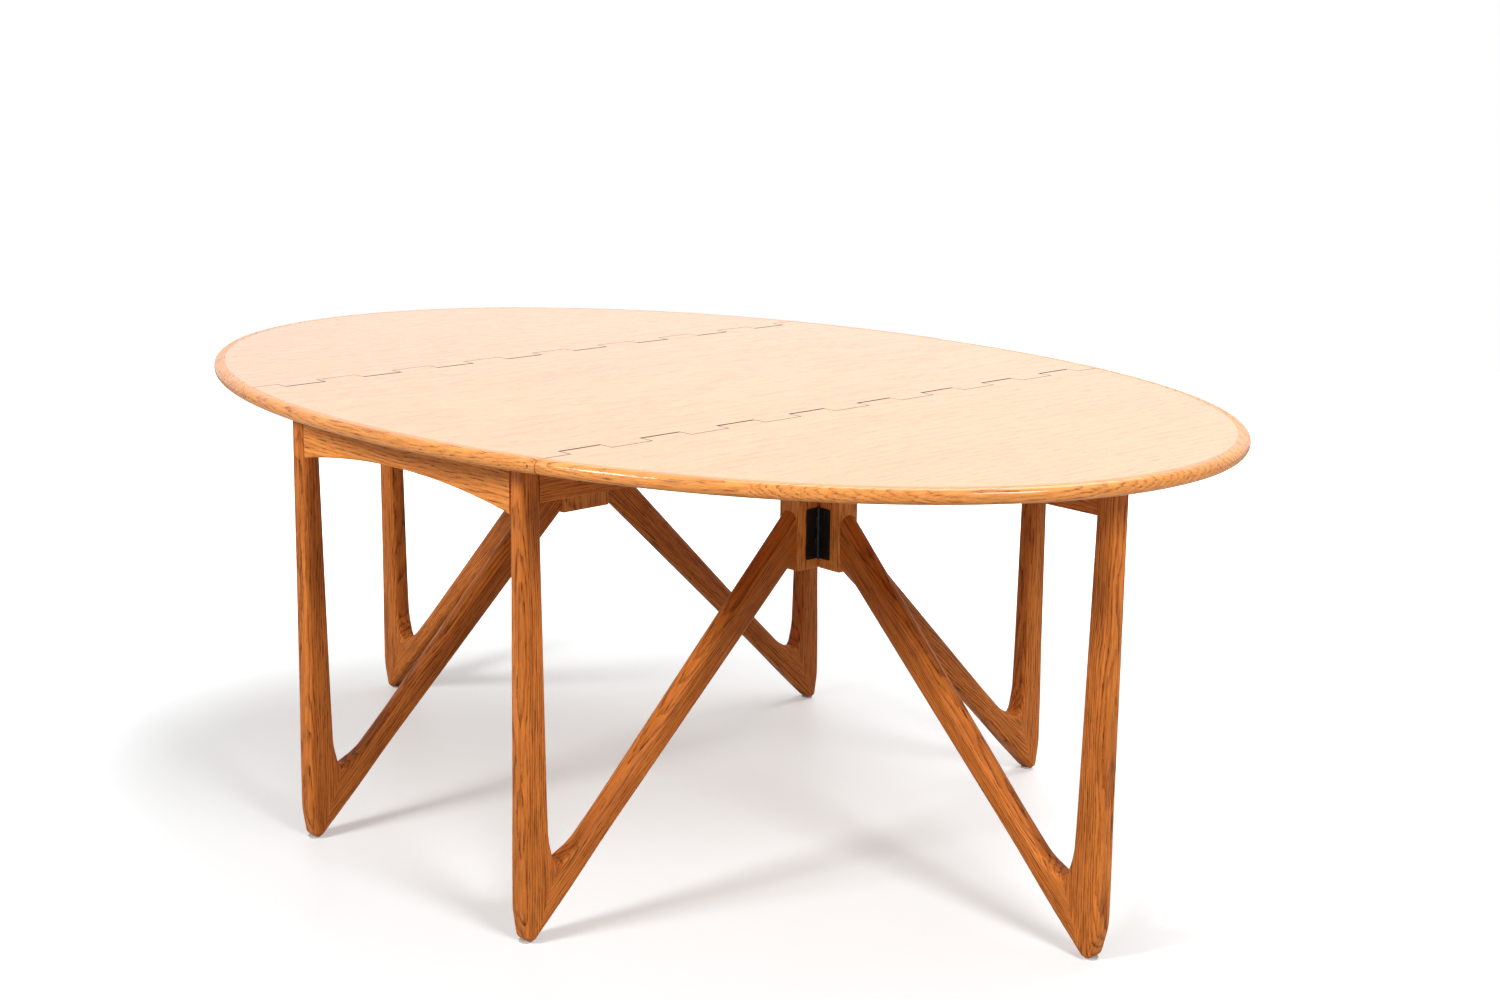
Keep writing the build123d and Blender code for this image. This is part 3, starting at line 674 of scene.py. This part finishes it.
def gate_leg_place(side):
    """The same for a gate, which hangs on its pin and stands a little short of square."""
    pin = next(j["pos_m"] for j in frame["joints"] if j["child"] == side + "_gate")
    turn = math.radians(-GATE_AJAR) + (0.0 if side == "right" else math.pi)
    return (Matrix.Translation((pin[0], pin[1], 0.0)) @ Matrix.Rotation(turn, 4, "Z")
            @ Matrix.Translation(PIN_TO_LEG))


def add_leg_piece(node, mesh, place, body, seed):
    piece = bpy.data.objects.new(node + "_shaped", mesh.copy())
    bpy.context.scene.collection.objects.link(piece)
    piece.matrix_world = place
    grain = Z if node.endswith("post") else Vector((-SEAM_FOOT[0], 0.0, HUB_END[0]))
    piece.data.materials.append(oak("finish_" + node, grain, Y, seed, OAK))
    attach(piece, body)
    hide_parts(node)


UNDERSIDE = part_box("centre_panel")[0].z
fixed_meshes = leg_meshes("fixed", FIXED_POST_TOP, UNDERSIDE)
gate_meshes = leg_meshes("gate", GATE_POST_TOP, UNDERSIDE - GATE_TOP_GAP)
leg_seed = FIRST_LEG_SEED
for side in ("right", "left"):
    for member in ("post", "strut"):
        for end in ("front", "back"):
            name = f"{side}_{end}_{member}"
            add_leg_piece(name, fixed_meshes[member], fixed_leg_place(name), "base", leg_seed)
            leg_seed += 1
        name = f"{side}_gate_{member}"
        add_leg_piece(name, gate_meshes[member], gate_leg_place(side), side + "_gate", leg_seed)
        leg_seed += 1

# ---------------------------------------------------------------- floor
FLOOR_RADIUS = 5.5
FLOOR_CORNERS = 96
FADE_FROM = 0.9     # metres from the middle where the floor starts to go over into white
FADE_TO = 2.0
FLOOR_LIFT = 0.27   # glow of the floor near the table
FADE_GLOW = 0.9     # what is added to it by FADE_TO
SCUFF_SCALE = (2.0, 2.0, 2.0)
SCUFF_RANGE = (0.45, 0.75)
SCUFF_TONE = 0.25
FLOOR_ROUGH = 0.45
FLOOR_SHINE = 0.2


def make_floor():
    """A round pale floor that goes over into the white background."""
    mesh = bpy.data.meshes.new("floor")
    turns = [math.tau * i / FLOOR_CORNERS for i in range(FLOOR_CORNERS)]
    rim = [(FLOOR_RADIUS * math.cos(turn), FLOOR_RADIUS * math.sin(turn), 0.0) for turn in turns]
    mesh.from_pydata(rim, [], [list(range(FLOOR_CORNERS))])
    floor = bpy.data.objects.new("floor", mesh)
    bpy.context.scene.collection.objects.link(floor)
    g = Graph("floor_white")
    where = g.place()
    scuffs = g.noise(where, SCUFF_SCALE, detail=5.0)
    seen = g.add("ShaderNodeLightPath").outputs["Is Camera Ray"]
    pale = g.mix(g.span(scuffs, *SCUFF_RANGE, 0.0, SCUFF_TONE), FLOOR_LIGHT, FLOOR_SCUFF)
    g.put(g.shader.inputs["Base Color"], g.mix(seen, FLOOR_BOUNCE, pale))
    g.shader.inputs["Roughness"].default_value = FLOOR_ROUGH
    g.shader.inputs["Specular IOR Level"].default_value = FLOOR_SHINE
    g.shader.inputs["Emission Color"].default_value = (1.0, 1.0, 1.0, 1.0)
    distance = g.vector("LENGTH", where)
    glow = g.span(distance, FADE_FROM, FADE_TO, FLOOR_LIFT, FLOOR_LIFT + FADE_GLOW)
    g.put(g.shader.inputs["Emission Strength"], g.math("MULTIPLY", glow, seen))
    mesh.materials.append(g.material)


make_floor()


# ---------------------------------------------------------------- light and camera
def soft_light(name, place, aim, size, power):
    lamp = bpy.data.lights.new(name, "AREA")
    lamp.shape = "DISK"
    lamp.size = size
    lamp.energy = power
    holder = bpy.data.objects.new(name, lamp)
    holder.location = place
    holder.rotation_mode = "QUATERNION"
    holder.rotation_quaternion = (Vector(aim) - Vector(place)).to_track_quat("-Z", "Y")
    bpy.context.scene.collection.objects.link(holder)


soft_light("key_right", **KEY_RIGHT)
soft_light("key_left", **KEY_LEFT)
soft_light("overhead", **OVERHEAD)


def make_sky():
    """White to the eye and in reflections, dimmer as a source of light."""
    world = bpy.data.worlds.new("studio")
    bpy.context.scene.world = world
    world.use_nodes = True
    nodes, links = world.node_tree.nodes, world.node_tree.links
    background = nodes["Background"]
    background.inputs["Color"].default_value = (1.0, 1.0, 1.0, 1.0)
    path = nodes.new("ShaderNodeLightPath")
    unseen = nodes.new("ShaderNodeMapRange")
    unseen.inputs["To Min"].default_value = SKY_LIGHT
    unseen.inputs["To Max"].default_value = SKY_GLOSS
    links.new(path.outputs["Is Glossy Ray"], unseen.inputs["Value"])
    strength = nodes.new("ShaderNodeMapRange")
    strength.inputs["To Max"].default_value = SKY_SEEN
    links.new(path.outputs["Is Camera Ray"], strength.inputs["Value"])
    links.new(unseen.outputs[0], strength.inputs["To Min"])
    links.new(strength.outputs[0], background.inputs["Strength"])


make_sky()


def make_camera():
    data = bpy.data.cameras.new("camera")
    data.sensor_fit = "HORIZONTAL"
    data.sensor_width = SENSOR
    data.lens = LENS
    data.clip_start = 0.05
    data.clip_end = 60.0
    camera = bpy.data.objects.new("camera", data)
    bpy.context.scene.collection.objects.link(camera)
    turn_z = Matrix.Rotation(CAMERA_YAW, 4, "Z")
    tilt = Matrix.Rotation(math.pi / 2 - CAMERA_PITCH, 4, "X")
    roll = Matrix.Rotation(-CAMERA_ROLL, 4, "Z")
    camera.matrix_world = Matrix.Translation(CAMERA_PLACE) @ turn_z @ tilt @ roll
    bpy.context.scene.camera = camera


make_camera()
bpy.context.scene.view_settings.view_transform = "Standard"
